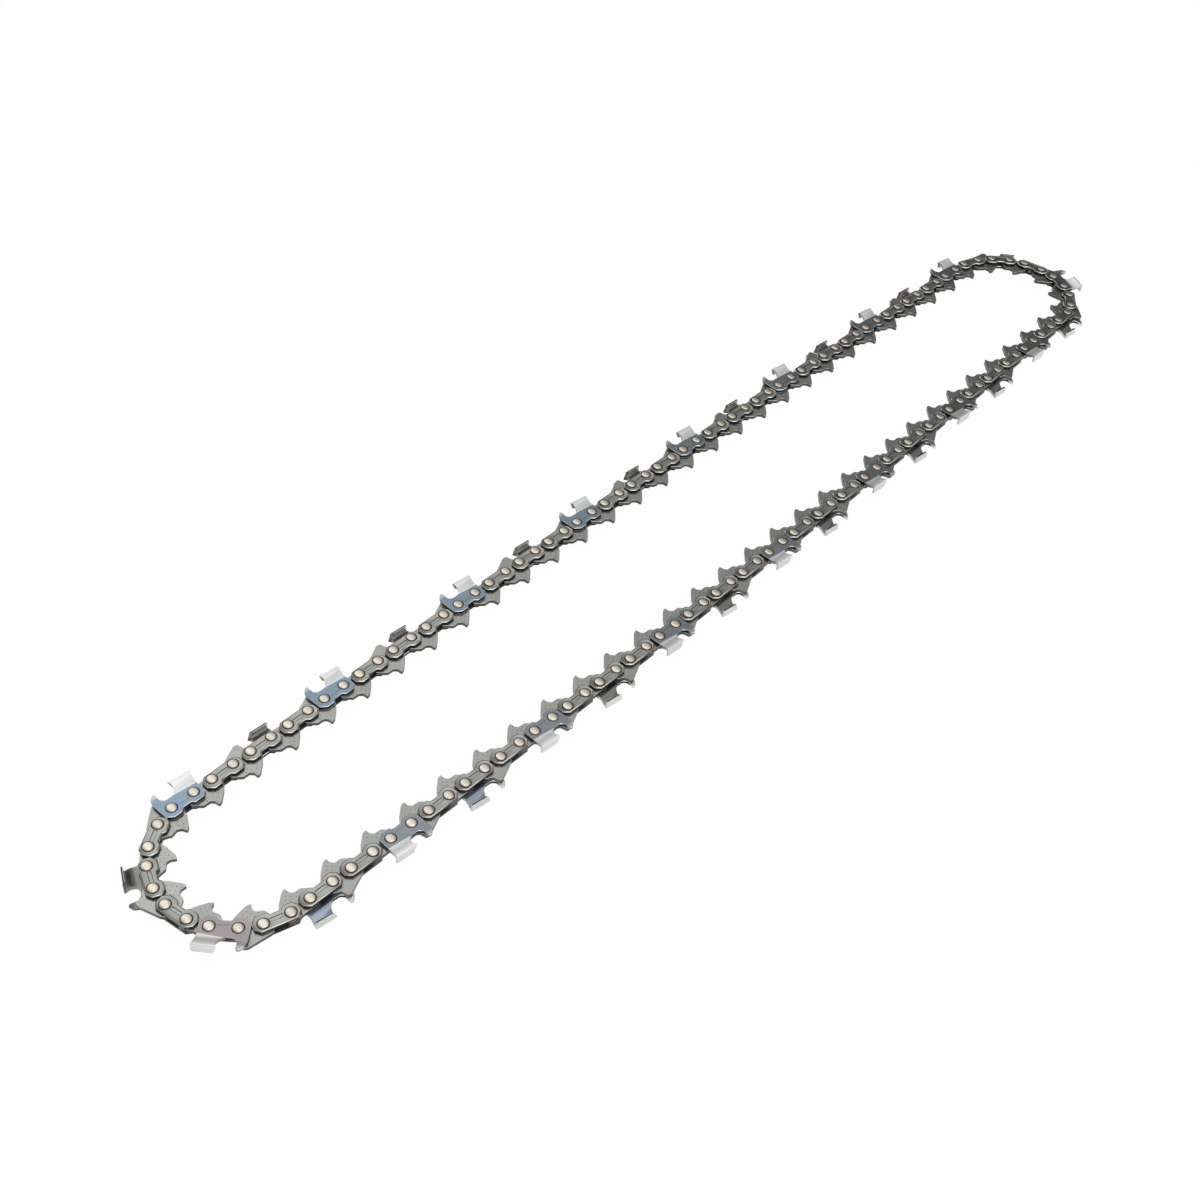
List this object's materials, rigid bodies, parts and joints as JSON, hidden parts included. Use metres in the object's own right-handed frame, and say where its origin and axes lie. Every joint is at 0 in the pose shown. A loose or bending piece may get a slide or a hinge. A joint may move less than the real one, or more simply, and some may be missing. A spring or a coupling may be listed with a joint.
{
  "type": "chainsaw chain loop",
  "caption": "Closed loop of saw chain lying on its side: hooked drive links between riveted tie straps, with left and right cutters by turns along the outer edge.",
  "frame": {"origin": "centre of the loop, on the surface that it lies on", "axes": "+X along the loop from the near bend to the far bend, +Z along the rivets"},
  "size_m": [0.5418, 0.0814, 0.0071],
  "materials": {
    "strap_steel": "satin grey-green steel",
    "drive_steel": "satin grey steel",
    "cutter_steel": "blue heat tint on the foot, bright chrome on the tooth",
    "rivet_steel": "warm polished steel"
  },
  "bodies": {
    "near_bend": {"near_bend_tie_straps": "strap_steel", "near_bend_left_cutters": "cutter_steel", "near_bend_right_cutters": "cutter_steel", "near_bend_drive_links": "drive_steel", "near_bend_bumper_links": "drive_steel", "near_bend_rivets": "rivet_steel"},
    "back_run_1": {"back_run_1_tie_straps": "strap_steel", "back_run_1_left_cutters": "cutter_steel", "back_run_1_right_cutters": "cutter_steel", "back_run_1_drive_links": "drive_steel", "back_run_1_bumper_links": "drive_steel", "back_run_1_rivets": "rivet_steel"},
    "back_run_2": {"back_run_2_tie_straps": "strap_steel", "back_run_2_left_cutters": "cutter_steel", "back_run_2_right_cutters": "cutter_steel", "back_run_2_drive_links": "drive_steel", "back_run_2_bumper_links": "drive_steel", "back_run_2_rivets": "rivet_steel"},
    "back_run_3": {"back_run_3_tie_straps": "strap_steel", "back_run_3_left_cutters": "cutter_steel", "back_run_3_right_cutters": "cutter_steel", "back_run_3_drive_links": "drive_steel", "back_run_3_bumper_links": "drive_steel", "back_run_3_rivets": "rivet_steel"},
    "far_bend": {"far_bend_tie_straps": "strap_steel", "far_bend_left_cutters": "cutter_steel", "far_bend_right_cutters": "cutter_steel", "far_bend_drive_links": "drive_steel", "far_bend_bumper_links": "drive_steel", "far_bend_rivets": "rivet_steel"},
    "front_run_1": {"front_run_1_tie_straps": "strap_steel", "front_run_1_left_cutters": "cutter_steel", "front_run_1_right_cutters": "cutter_steel", "front_run_1_drive_links": "drive_steel", "front_run_1_bumper_links": "drive_steel", "front_run_1_rivets": "rivet_steel"},
    "front_run_2": {"front_run_2_tie_straps": "strap_steel", "front_run_2_left_cutters": "cutter_steel", "front_run_2_right_cutters": "cutter_steel", "front_run_2_drive_links": "drive_steel", "front_run_2_bumper_links": "drive_steel", "front_run_2_rivets": "rivet_steel"},
    "front_run_3": {"front_run_3_tie_straps": "strap_steel", "front_run_3_left_cutters": "cutter_steel", "front_run_3_right_cutters": "cutter_steel", "front_run_3_drive_links": "drive_steel", "front_run_3_bumper_links": "drive_steel", "front_run_3_rivets": "rivet_steel"}
  },
  "joints": [
    {"name": "back_run_1_pivot", "type": "hinge", "parent": "near_bend", "child": "back_run_1", "pos_m": [-0.23077, 0.02931, 0.00355], "axis": [0, 0, 1], "range_deg": [-7, 18]},
    {"name": "back_run_2_pivot", "type": "hinge", "parent": "back_run_1", "child": "back_run_2", "pos_m": [-0.0822, 0.03189, 0.00355], "axis": [0, 0, 1], "range_deg": [-18, 7]},
    {"name": "back_run_3_pivot", "type": "hinge", "parent": "back_run_2", "child": "back_run_3", "pos_m": [0.0829, 0.03189, 0.00355], "axis": [0, 0, 1], "range_deg": [-18, 7]},
    {"name": "far_bend_pivot", "type": "hinge", "parent": "back_run_3", "child": "far_bend", "pos_m": [0.23146, 0.02929, 0.00355], "axis": [0, 0, 1], "range_deg": [-7, 18]},
    {"name": "front_run_1_pivot", "type": "hinge", "parent": "far_bend", "child": "front_run_1", "pos_m": [0.23077, -0.02931, 0.00355], "axis": [0, 0, 1], "range_deg": [-7, 18]},
    {"name": "front_run_2_pivot", "type": "hinge", "parent": "front_run_1", "child": "front_run_2", "pos_m": [0.0822, -0.03189, 0.00355], "axis": [0, 0, 1], "range_deg": [-18, 7]},
    {"name": "front_run_3_pivot", "type": "hinge", "parent": "front_run_2", "child": "front_run_3", "pos_m": [-0.0829, -0.03189, 0.00355], "axis": [0, 0, 1], "range_deg": [-18, 7]}
  ],
  "couplings": [
    {"joint": "back_run_2_pivot", "follows": "back_run_1_pivot", "ratio": -1},
    {"joint": "back_run_3_pivot", "follows": "back_run_1_pivot", "ratio": -1},
    {"joint": "far_bend_pivot", "follows": "back_run_1_pivot", "ratio": 1},
    {"joint": "front_run_1_pivot", "follows": "back_run_1_pivot", "ratio": 1},
    {"joint": "front_run_2_pivot", "follows": "back_run_1_pivot", "ratio": -1},
    {"joint": "front_run_3_pivot", "follows": "back_run_1_pivot", "ratio": -1}
  ]
}
